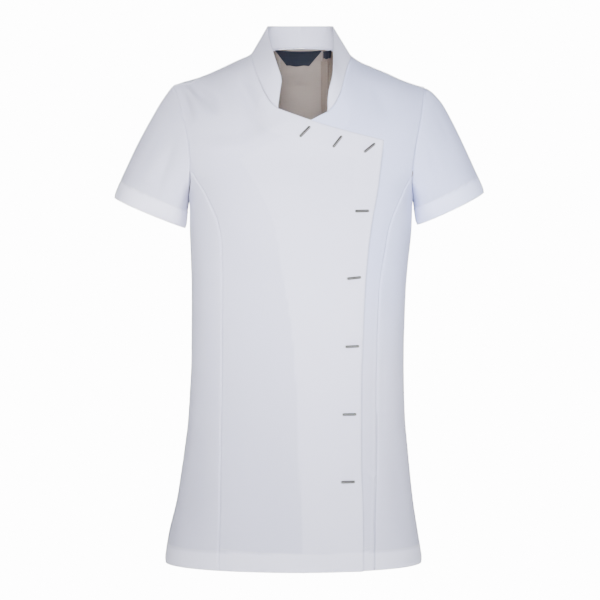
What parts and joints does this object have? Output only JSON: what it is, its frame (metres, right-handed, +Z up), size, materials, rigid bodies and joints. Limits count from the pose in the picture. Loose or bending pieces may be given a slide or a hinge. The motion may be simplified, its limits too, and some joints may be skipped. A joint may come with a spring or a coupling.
{
  "type": "beautician tunic",
  "caption": "White short-sleeved beautician tunic with a stand collar, princess seams and an off-centre overlap closed by metal bar buttons, filled out as worn.",
  "frame": {"origin": "midway between the two high points of the shoulders, where the collar meets the shoulder seams", "axes": "+Z up towards the collar, -Y out of the front of the tunic, +X towards the wearer's left"},
  "size_m": [0.5566, 0.2424, 0.8101],
  "materials": {
    "white_twill": "matt, faintly lustrous",
    "satin_steel": "polished",
    "navy_tape": "matt woven tape"
  },
  "bodies": {
    "root": {"right_front_centre": "white_twill", "right_front_side": "white_twill", "right_back": "white_twill", "left_front_centre": "white_twill", "left_front_side": "white_twill", "left_back": "white_twill", "back_centre": "white_twill", "right_sleeve": "white_twill", "left_sleeve": "white_twill", "collar": "white_twill", "neck_label": "navy_tape", "size_tab": "navy_tape", "button_1": "satin_steel", "button_2": "satin_steel", "button_3": "satin_steel", "button_4": "satin_steel", "button_5": "satin_steel", "button_6": "satin_steel", "button_7": "satin_steel", "button_8": "satin_steel"}
  },
  "joints": []
}
